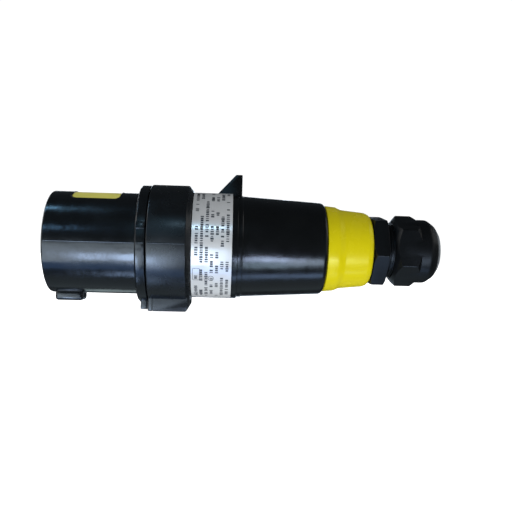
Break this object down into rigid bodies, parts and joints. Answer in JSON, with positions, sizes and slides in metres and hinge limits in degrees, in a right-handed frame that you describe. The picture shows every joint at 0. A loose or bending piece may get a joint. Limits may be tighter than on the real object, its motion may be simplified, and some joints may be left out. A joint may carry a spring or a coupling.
{
  "type": "industrial pin-and-sleeve cable plug",
  "caption": "Round industrial cable plug with shrouded pins, a key rib, a screwed union collar, a tapered housing with a lid catch, a colour sleeve and a hexagonal cable gland.",
  "frame": {"origin": "on the plug's axis, in the front face of the shroud's flange, which is where the plug stops in its socket", "axes": "+X along the axis towards the cable end, so the pins point along -X; +Z through the lid catch (twelve o'clock), with the key rib on -Z"},
  "size_m": [0.2022, 0.0622, 0.0719],
  "materials": {
    "black_gloss": "glossy moulded",
    "black_satin": "satin moulded",
    "black_matt": "fine-grained moulded",
    "marker_yellow": "satin moulded",
    "sleeve_yellow": "glossy moulded",
    "plate_silver": "silver foil",
    "insulator": "filled thermoset",
    "pin_metal": "nickel plated",
    "zinc_steel": "zinc plated",
    "rubber": "matt",
    "nylon": "natural"
  },
  "bodies": {
    "plug_front": {"shroud": "black_gloss", "voltage_marker": "marker_yellow", "carrier_gasket": "rubber", "pin_carrier": "insulator", "pin_seals": "rubber", "pin_retainer": "insulator", "line_pin": "pin_metal", "neutral_pin": "pin_metal", "earth_pin": "pin_metal", "wire_clamps": "zinc_steel", "terminal_screws": "zinc_steel", "carrier_screws": "zinc_steel", "union_seal": "rubber"},
    "rear_grip": {"rear_housing": "black_satin", "rating_plate": "plate_silver", "slip_ring": "nylon", "colour_sleeve": "sleeve_yellow", "gland_gasket": "rubber", "gland_body": "black_matt", "gland_seal": "rubber"},
    "union": {"coupling_collar": "black_satin"},
    "collar_lock": {"lock_screw": "zinc_steel"},
    "clamp_washer": {"skid_washer": "nylon"},
    "cap_nut": {"gland_cap": "black_matt"}
  },
  "joints": [
    {"name": "housing_travel", "type": "slide", "parent": "plug_front", "child": "rear_grip", "axis": [1, 0, 0], "range_m": [0, 0.009]},
    {"name": "collar_turn", "type": "hinge", "parent": "rear_grip", "child": "union", "pos_m": [0.0162, 0, 0], "axis": [1, 0, 0], "range_deg": [0, 1080]},
    {"name": "lock_screw_travel", "type": "slide", "parent": "union", "child": "collar_lock", "axis": [0, 0, -1], "range_m": [0, 0.004]},
    {"name": "washer_travel", "type": "slide", "parent": "rear_grip", "child": "clamp_washer", "axis": [1, 0, 0], "range_m": [-0.0015, 0.0061]},
    {"name": "cap_turn", "type": "hinge", "parent": "clamp_washer", "child": "cap_nut", "pos_m": [0.1437, 0, 0], "axis": [1, 0, 0], "range_deg": [-359, 1440]}
  ],
  "couplings": [
    {"joint": "collar_turn", "follows": "housing_travel", "rad_per_m": 2094.4},
    {"joint": "washer_travel", "follows": "cap_turn", "m_per_rad": 0.00023873}
  ]
}
